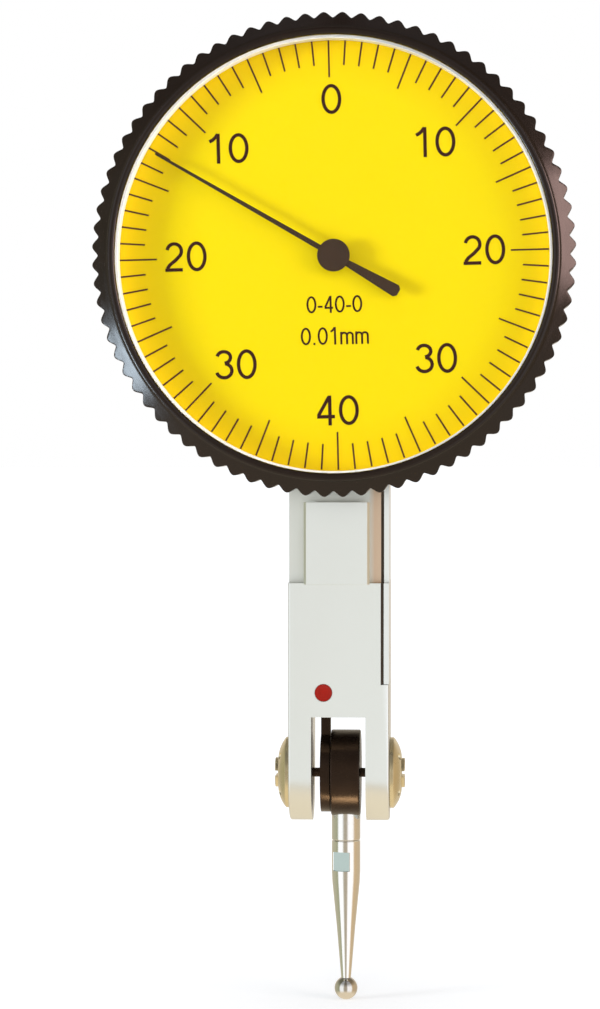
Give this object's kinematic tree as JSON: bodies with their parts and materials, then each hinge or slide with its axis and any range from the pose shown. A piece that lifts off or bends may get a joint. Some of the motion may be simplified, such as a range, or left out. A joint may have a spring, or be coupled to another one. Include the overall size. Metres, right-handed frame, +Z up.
{
  "type": "dial test indicator",
  "caption": "Lever type dial test indicator with a yellow balanced dial in a knurled bezel, dovetail body and swinging ball stylus.",
  "frame": {"origin": "centre of the front dovetail's outer face", "axes": "+Z up along the body from the stylus to the dial, -Y out of the dial towards the reader, +X to the reader's right"},
  "size_m": [0.04, 0.0173, 0.0837],
  "materials": {
    "satin_chrome": "satin plated",
    "bright_steel": "polished",
    "black_anodised": "satin black",
    "dark_steel": "dark oxide",
    "dial_yellow": "matt yellow",
    "pale_ring": "matt cream",
    "clear_glass": "clear",
    "pointer_black": "matt dark brown",
    "brass": "fine turned",
    "pale_gold": "plated, satin",
    "ruby": "polished",
    "red_lacquer": "gloss",
    "dark_gasket": "matt"
  },
  "bodies": {
    "frame": {"body_frame": "satin_chrome", "side_cover": "satin_chrome", "cover_gasket": "dark_gasket", "cover_screw_1": "bright_steel", "cover_screw_2": "bright_steel", "cover_screw_3": "bright_steel", "cover_screw_4": "bright_steel", "dial_case": "satin_chrome", "case_screw_1": "bright_steel", "case_screw_2": "bright_steel", "case_screw_3": "bright_steel", "seal_plug": "red_lacquer", "pivot_screw_left": "pale_gold", "pivot_screw_right": "pale_gold", "lock_ring_left": "pale_gold", "lock_ring_right": "pale_gold", "bezel_snap_ring": "bright_steel", "movement_plate": "brass", "pillar_1": "brass", "pillar_2": "brass", "pillar_3": "brass", "plate_screw_1": "bright_steel", "plate_screw_2": "bright_steel", "plate_screw_3": "bright_steel", "centre_cock": "brass", "cock_screw": "bright_steel", "crown_jewel_left": "ruby", "crown_jewel_right": "ruby", "sector_jewel_left": "ruby", "sector_jewel_right": "ruby", "centre_jewel_front": "ruby", "centre_jewel_rear": "ruby", "hairspring": "bright_steel", "hairspring_stud": "brass"},
    "bezel_group": {"bezel": "black_anodised", "crystal": "clear_glass", "dial_face": "dial_yellow", "dial_ring": "pale_ring", "dial_retaining_ring": "dark_steel"},
    "pointer_group": {"pointer": "pointer_black", "pointer_hub": "pointer_black", "centre_pinion": "bright_steel", "hairspring_collet": "brass"},
    "crown_group": {"crown_wheel": "brass", "crown_arbor": "bright_steel"},
    "sector_group": {"sector_lever": "brass", "sector_arbor": "bright_steel"},
    "lever_group": {"drive_lever": "dark_steel", "lever_arbor": "bright_steel", "drive_pin": "ruby"},
    "stylus_group": {"stylus_hub": "dark_steel", "clutch_washer": "bright_steel", "stylus": "bright_steel", "ball": "bright_steel"}
  },
  "joints": [
    {"name": "bezel_turn", "type": "hinge", "parent": "frame", "child": "bezel_group", "pos_m": [0, -0.004, 0.024], "axis": [0, 1, 0], "continuous": true},
    {"name": "pointer_spin", "type": "hinge", "parent": "frame", "child": "pointer_group", "pos_m": [0, -0.004, 0.024], "axis": [0, 1, 0], "range_deg": [-360, 360], "stiffness_Nm_per_rad": 0.000004},
    {"name": "crown_spin", "type": "hinge", "parent": "frame", "child": "crown_group", "pos_m": [0, 0.00445, 0.024], "axis": [1, 0, 0], "range_deg": [-73, 73]},
    {"name": "sector_swing", "type": "hinge", "parent": "frame", "child": "sector_group", "pos_m": [0, 0.00445, 0.01525], "axis": [1, 0, 0], "range_deg": [-6.9, 6.9]},
    {"name": "lever_swing", "type": "hinge", "parent": "frame", "child": "lever_group", "pos_m": [0, 0.00445, -0.02], "axis": [1, 0, 0], "range_deg": [-2.5, 2.5]},
    {"name": "stylus_set", "type": "hinge", "parent": "lever_group", "child": "stylus_group", "pos_m": [0, 0.00445, -0.02], "axis": [1, 0, 0], "range_deg": [-120, 120]}
  ],
  "couplings": [
    {"joint": "crown_spin", "follows": "pointer_spin", "ratio": -0.2},
    {"joint": "sector_swing", "follows": "pointer_spin", "ratio": 0.01875},
    {"joint": "lever_swing", "follows": "pointer_spin", "ratio": -0.0068087}
  ]
}
